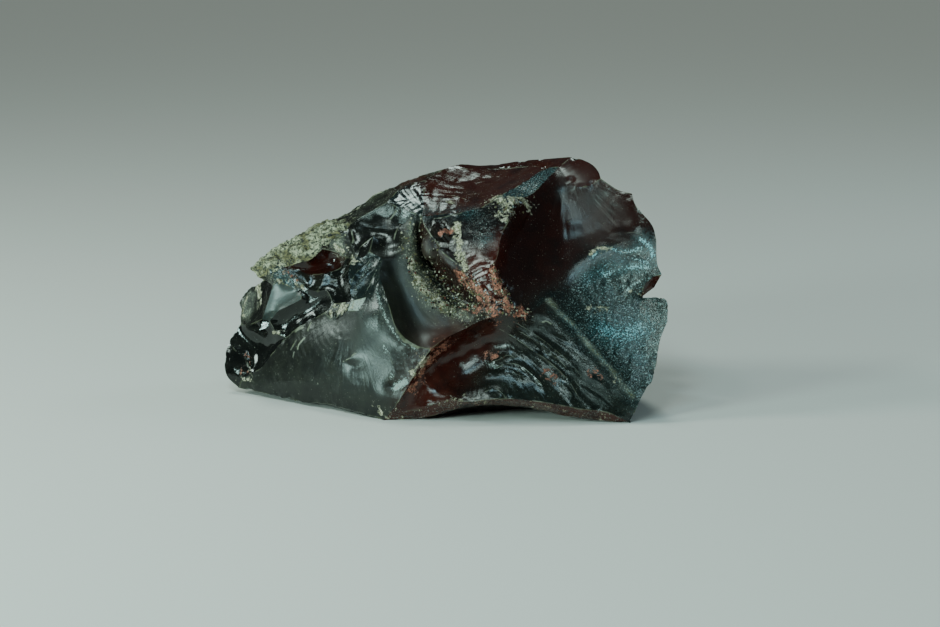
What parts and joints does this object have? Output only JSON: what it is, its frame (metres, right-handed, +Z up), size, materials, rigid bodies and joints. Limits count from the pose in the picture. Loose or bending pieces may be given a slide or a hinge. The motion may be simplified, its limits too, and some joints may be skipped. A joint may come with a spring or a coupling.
{
  "type": "obsidian chunk",
  "caption": "Hand-sized chunk of black volcanic glass with conchoidal scars, a pitted pale rind at one end and a flat resting face underneath.",
  "frame": {"origin": "middle of the stone's footprint box, on the surface it rests on", "axes": "+X along the stone from its pitted pale end to its thin scalloped end, +Y to its back, +Z up"},
  "size_m": [0.1201, 0.0622, 0.064],
  "materials": {
    "obsidian": "glossy black volcanic glass with dusty, crumbled and pale pitted zones"
  },
  "bodies": {
    "root": {"obsidian_chunk": "obsidian"}
  },
  "joints": []
}
